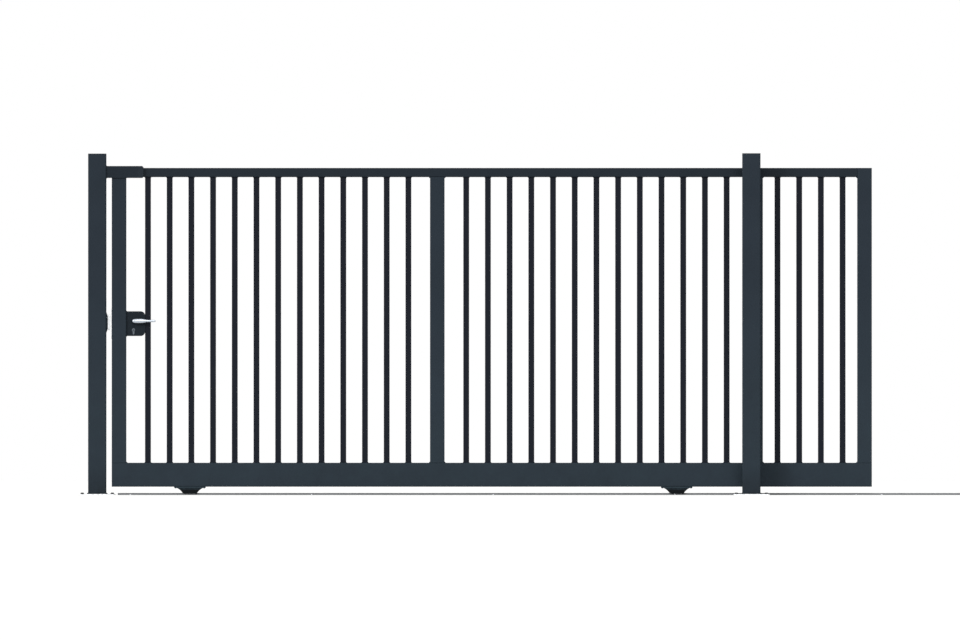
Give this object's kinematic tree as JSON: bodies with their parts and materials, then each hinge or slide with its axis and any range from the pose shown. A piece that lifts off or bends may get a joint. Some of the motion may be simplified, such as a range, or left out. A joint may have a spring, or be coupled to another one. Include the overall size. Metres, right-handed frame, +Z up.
{
  "type": "sliding driveway gate",
  "caption": "Sliding driveway gate with upright bars, a receiving post, a guide post, grooved wheels on a ground track and a lever lock.",
  "frame": {"origin": "centre of the underside of the receiving post's foot plate, on the ground", "axes": "+X along the gate, the way the leaf opens; +Y away from the street, into the yard; +Z up"},
  "size_m": [6.8896, 0.35, 1.88],
  "materials": {
    "anthracite_coat": "satin",
    "bar_coat": "satin",
    "lock_coat": "satin",
    "carriage_black": "satin",
    "black_plastic": "matte",
    "zinc_plate": "satin",
    "track_zinc": "satin",
    "stainless": "satin",
    "satin_lever": "satin",
    "nickel": "satin",
    "wheel_steel": "satin",
    "nylon": "matte"
  },
  "bodies": {
    "fixed_posts_and_track": {"receiving_post": "anthracite_coat", "receiving_post_cap": "black_plastic", "receiving_post_foot": "zinc_plate", "guide_post": "anthracite_coat", "guide_post_cap": "black_plastic", "guide_post_foot": "zinc_plate", "top_catch": "anthracite_coat", "keep_plate": "anthracite_coat", "lock_keep": "stainless", "guide_arm": "anthracite_coat", "guide_rollers": "nylon", "guide_roller_bolts": "zinc_plate", "passage_track": "track_zinc", "parking_track": "track_zinc", "track_stop": "track_zinc"},
    "leaf": {"latch_stile": "anthracite_coat", "middle_stile": "anthracite_coat", "guide_stile": "anthracite_coat", "tail_stile": "anthracite_coat", "top_rail": "anthracite_coat", "bottom_rail": "anthracite_coat", "rail_end_caps": "anthracite_coat", "stile_top_caps": "anthracite_coat", "latch_bay_bars": "bar_coat", "middle_bay_bars": "bar_coat", "tail_bay_bars": "bar_coat", "lock_case": "lock_coat", "lock_forend": "stainless", "lock_cylinder": "nickel", "leading_carriage": "carriage_black", "trailing_carriage": "carriage_black", "leading_axle": "zinc_plate", "trailing_axle": "zinc_plate"},
    "lever_pair": {"street_lever": "satin_lever", "yard_lever": "satin_lever", "lever_spindle": "zinc_plate"},
    "leading_wheel_body": {"leading_wheel": "wheel_steel"},
    "trailing_wheel_body": {"trailing_wheel": "wheel_steel"}
  },
  "joints": [
    {"name": "leaf_slide", "type": "slide", "parent": "fixed_posts_and_track", "child": "leaf", "axis": [1, 0, 0], "range_m": [0, 3.47]},
    {"name": "leading_wheel_roll", "type": "hinge", "parent": "leaf", "child": "leading_wheel_body", "pos_m": [0.51, 0, 0.0583], "axis": [0, 1, 0], "continuous": true},
    {"name": "trailing_wheel_roll", "type": "hinge", "parent": "leaf", "child": "trailing_wheel_body", "pos_m": [3.1906, 0, 0.0583], "axis": [0, 1, 0], "continuous": true},
    {"name": "lever_turn", "type": "hinge", "parent": "leaf", "child": "lever_pair", "pos_m": [0.2, 0, 0.9586], "axis": [0, 1, 0], "range_deg": [0, 45], "stiffness_Nm_per_rad": 0.8, "springref_deg": -22.92}
  ],
  "couplings": [
    {"joint": "leading_wheel_roll", "follows": "leaf_slide", "rad_per_m": 21.739},
    {"joint": "trailing_wheel_roll", "follows": "leaf_slide", "rad_per_m": 21.739}
  ]
}
